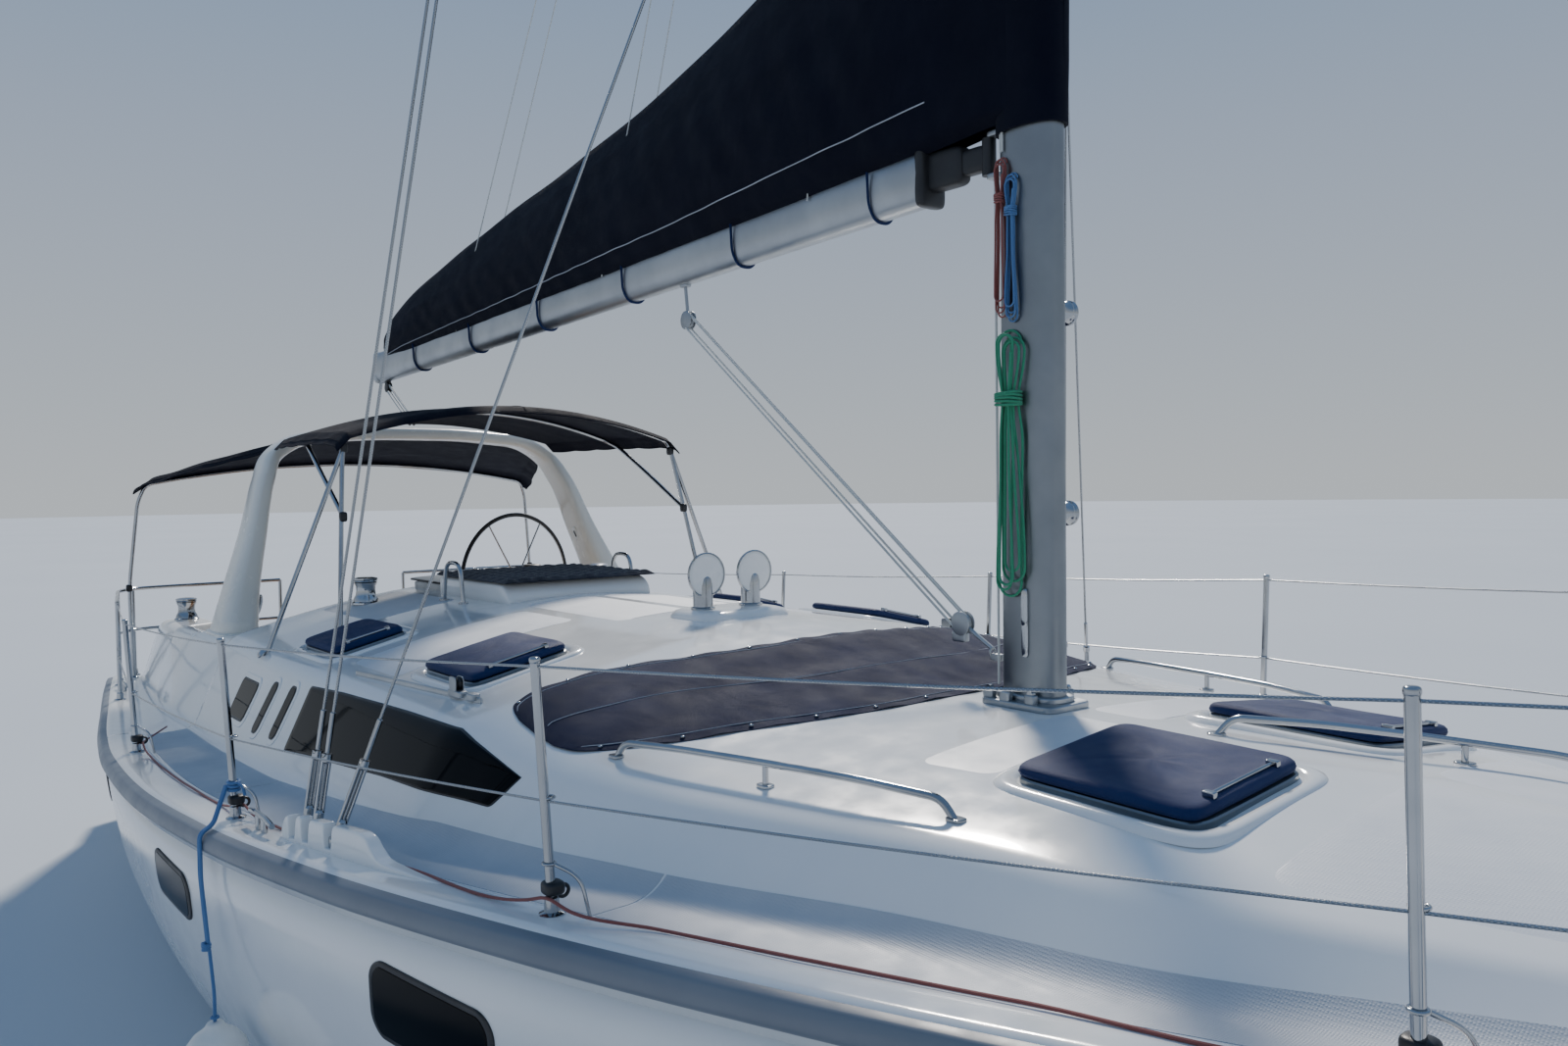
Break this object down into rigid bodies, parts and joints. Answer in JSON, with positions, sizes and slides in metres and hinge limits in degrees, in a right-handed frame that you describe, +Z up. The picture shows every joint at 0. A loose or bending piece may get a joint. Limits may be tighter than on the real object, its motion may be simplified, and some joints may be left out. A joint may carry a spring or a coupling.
{
  "type": "sailing yacht",
  "caption": "Sloop-rigged cruising yacht with furled sails, cockpit arch and biminis, keel, rudder and propeller, boom and hatches that move.",
  "frame": {"origin": "on the centreline amidships, in the plane of the waterline", "axes": "+X towards the bow, +Y to port, +Z up"},
  "size_m": [12.7, 4.373, 19.9],
  "materials": {
    "gelcoat": "white gelcoat, semi-gloss",
    "cream_gelcoat": "cream gelcoat and sailcloth",
    "band": "grey-blue rubbing band",
    "smoked_acrylic": "dark smoked acrylic",
    "navy_canvas": "navy acrylic canvas",
    "stainless": "polished stainless steel",
    "anodised_alloy": "clear anodised",
    "black_plastic": "black composite and leather-covered steel",
    "antifouled_iron": "blue antifouling paint",
    "bronze": "cast bronze",
    "teak": "teak boards",
    "rope": "braided polyester"
  },
  "bodies": {
    "boat": {"hull": "gelcoat", "deck": "gelcoat", "cockpit": "gelcoat", "companionway_bulkhead": "gelcoat", "pedestal": "gelcoat", "fender": "gelcoat", "arch": "cream_gelcoat", "rub_band": "band", "cabin_glazing_starboard": "smoked_acrylic", "cabin_glazing_port": "smoked_acrylic", "hood_cover": "navy_canvas", "windscreen_cover": "navy_canvas", "mast_cover": "navy_canvas", "fore_bimini": "navy_canvas", "aft_bimini": "navy_canvas", "cap_shroud_starboard": "stainless", "cap_shroud_port": "stainless", "lower_shroud_starboard": "stainless", "lower_shroud_port": "stainless", "fore_bimini_frame": "stainless", "aft_bimini_frame": "stainless", "pulpit": "stainless", "bow_roller": "stainless", "anchor": "stainless", "vents": "stainless", "cabin_winch_starboard": "stainless", "cabin_winch_port": "stainless", "cockpit_winch_starboard": "stainless", "cockpit_winch_port": "stainless", "handrail_starboard": "stainless", "handrail_port": "stainless", "guard_rail_starboard": "stainless", "guard_rail_port": "stainless", "mast": "anodised_alloy", "lower_spreaders": "anodised_alloy", "upper_spreaders": "anodised_alloy", "engine": "black_plastic", "keel": "antifouled_iron", "prop_strut": "bronze", "cabin_sole": "teak", "fender_line": "rope", "halyard_hank": "rope", "lift_hank": "rope", "reefing_hank": "rope"},
    "rudder": {"rudder": "antifouled_iron"},
    "propeller": {"propeller": "bronze"},
    "furler": {"furled_headsail": "cream_gelcoat"},
    "boom": {"boom": "anodised_alloy", "boom_cover": "navy_canvas", "vang": "black_plastic", "mainsheet": "black_plastic"},
    "wheel": {"wheel": "black_plastic"},
    "slide": {"companionway_slide": "smoked_acrylic"},
    "anchor_locker_lid": {"anchor_locker_lid": "gelcoat"},
    "fore_hatch_starboard": {"fore_hatch_starboard": "navy_canvas"},
    "fore_hatch_port": {"fore_hatch_port": "navy_canvas"},
    "mid_hatch_starboard": {"mid_hatch_starboard": "navy_canvas"},
    "mid_hatch_port": {"mid_hatch_port": "navy_canvas"},
    "aft_hatch_starboard": {"aft_hatch_starboard": "navy_canvas"},
    "aft_hatch_port": {"aft_hatch_port": "navy_canvas"}
  },
  "joints": [
    {"name": "rudder_turn", "type": "hinge", "parent": "boat", "child": "rudder", "pos_m": [-4.93, 0, -0.3], "axis": [0, 0, 1], "range_deg": [-36, 36]},
    {"name": "wheel_turn", "type": "hinge", "parent": "boat", "child": "wheel", "pos_m": [-3.95, 0.8, 1.79], "axis": [0.9744, 0.225, 0], "range_deg": [-360, 360]},
    {"name": "propeller_spin", "type": "hinge", "parent": "boat", "child": "propeller", "pos_m": [-3.8, 0, -0.8], "axis": [0.9906, 0, 0.1366], "continuous": true},
    {"name": "furler_spin", "type": "hinge", "parent": "boat", "child": "furler", "pos_m": [5.96, 0, 1.79], "axis": [-0.2632, 0, 0.9647], "continuous": true},
    {"name": "boom_swing", "type": "hinge", "parent": "boat", "child": "boom", "pos_m": [1.37, 0, 3.555], "axis": [0, 0, 1], "range_deg": [-50, 50]},
    {"name": "slide_open", "type": "slide", "parent": "boat", "child": "slide", "axis": [1, 0, 0], "range_m": [0, 0.6]},
    {"name": "anchor_locker_open", "type": "hinge", "parent": "boat", "child": "anchor_locker_lid", "pos_m": [5.34956, 0, 1.62329], "axis": [0, 1, 0], "range_deg": [0, 80]},
    {"name": "fore_hatch_starboard_open", "type": "hinge", "parent": "boat", "child": "fore_hatch_starboard", "pos_m": [2.56028, -0.44643, 1.71551], "axis": [0.0026, 0.995, 0.1002], "range_deg": [0, 80]},
    {"name": "fore_hatch_port_open", "type": "hinge", "parent": "boat", "child": "fore_hatch_port", "pos_m": [2.56028, 0.44643, 1.71551], "axis": [-0.0026, 0.995, -0.1002], "range_deg": [0, 80]},
    {"name": "mid_hatch_starboard_open", "type": "hinge", "parent": "boat", "child": "mid_hatch_starboard", "pos_m": [-0.09997, -1.02318, 1.78436], "axis": [0.0004, 0.975, 0.2221], "range_deg": [0, 80]},
    {"name": "mid_hatch_port_open", "type": "hinge", "parent": "boat", "child": "mid_hatch_port", "pos_m": [-0.09997, 1.02318, 1.78436], "axis": [-0.0004, 0.975, -0.2221], "range_deg": [0, 80]},
    {"name": "aft_hatch_starboard_open", "type": "hinge", "parent": "boat", "child": "aft_hatch_starboard", "pos_m": [-1.40007, -1.15345, 1.75528], "axis": [-0.0011, 0.9705, 0.241], "range_deg": [0, 80]},
    {"name": "aft_hatch_port_open", "type": "hinge", "parent": "boat", "child": "aft_hatch_port", "pos_m": [-1.40007, 1.15345, 1.75528], "axis": [0.0011, 0.9705, -0.241], "range_deg": [0, 80]}
  ],
  "couplings": [
    {"joint": "wheel_turn", "follows": "rudder_turn", "ratio": 10}
  ]
}
